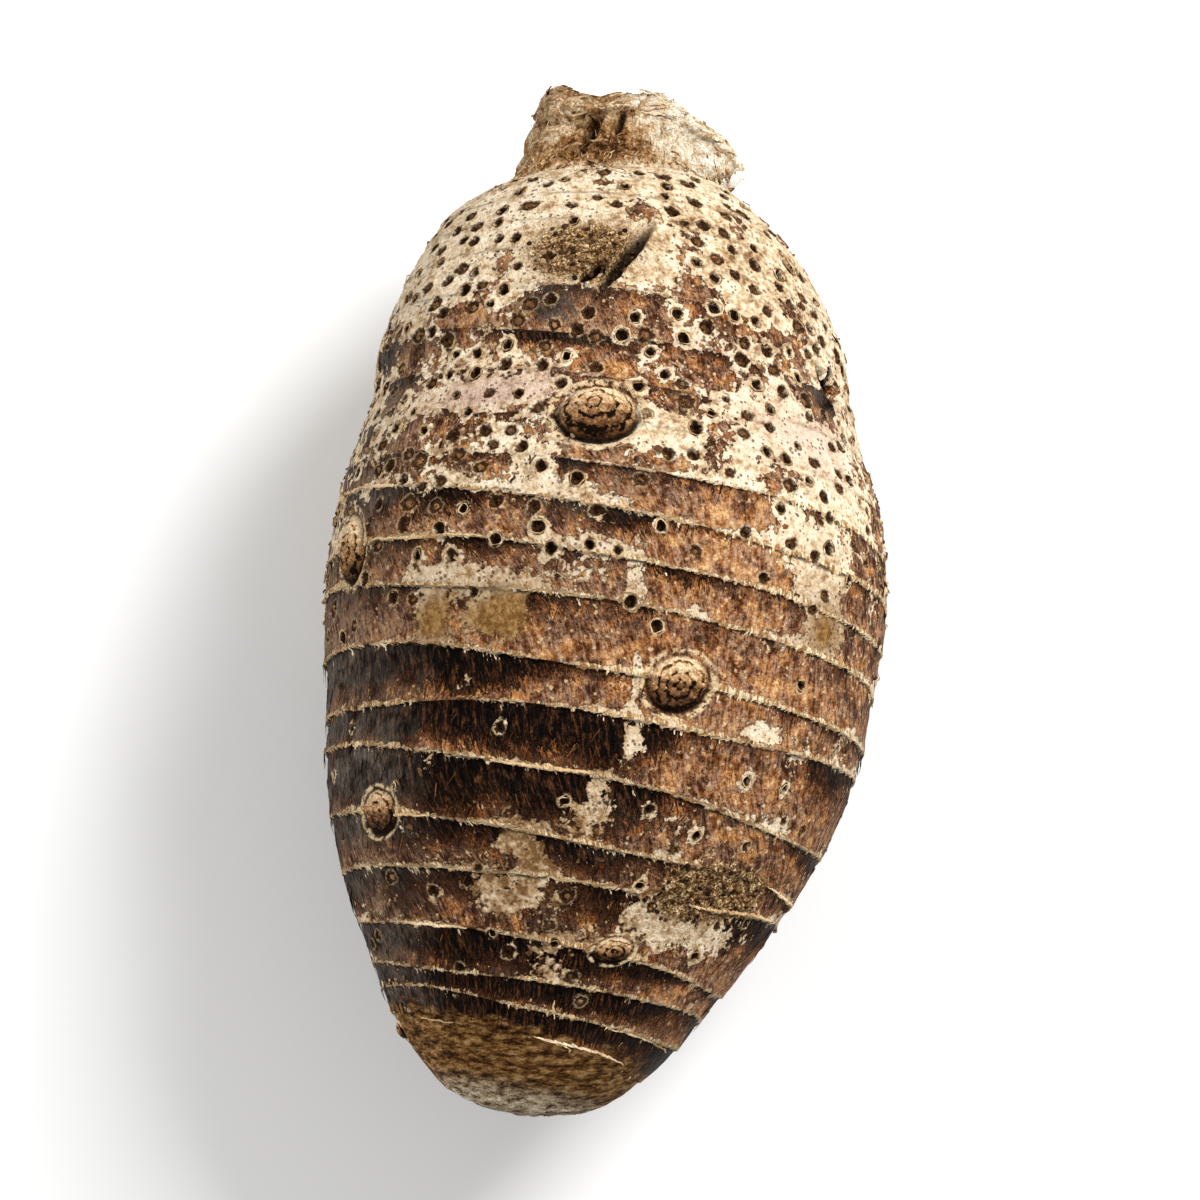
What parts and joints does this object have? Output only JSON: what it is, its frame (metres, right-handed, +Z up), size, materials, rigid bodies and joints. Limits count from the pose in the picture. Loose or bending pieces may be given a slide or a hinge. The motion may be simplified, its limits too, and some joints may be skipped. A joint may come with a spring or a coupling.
{
  "type": "taro corm",
  "caption": "Whole taro corm lying on its side: a swollen, ringed stem with root scars, small buds and a cut stub of leaf bases.",
  "frame": {"origin": "middle of the flat spot that the corm lies on, under the middle of its box", "axes": "+Y along the corm from its base tip to its crown, +Z up from the surface it lies on, +X across it"},
  "size_m": [0.1218, 0.2251, 0.1125],
  "materials": {
    "corm_skin": "dry matt corky skin"
  },
  "bodies": {
    "root": {"corm": "corm_skin"}
  },
  "joints": []
}
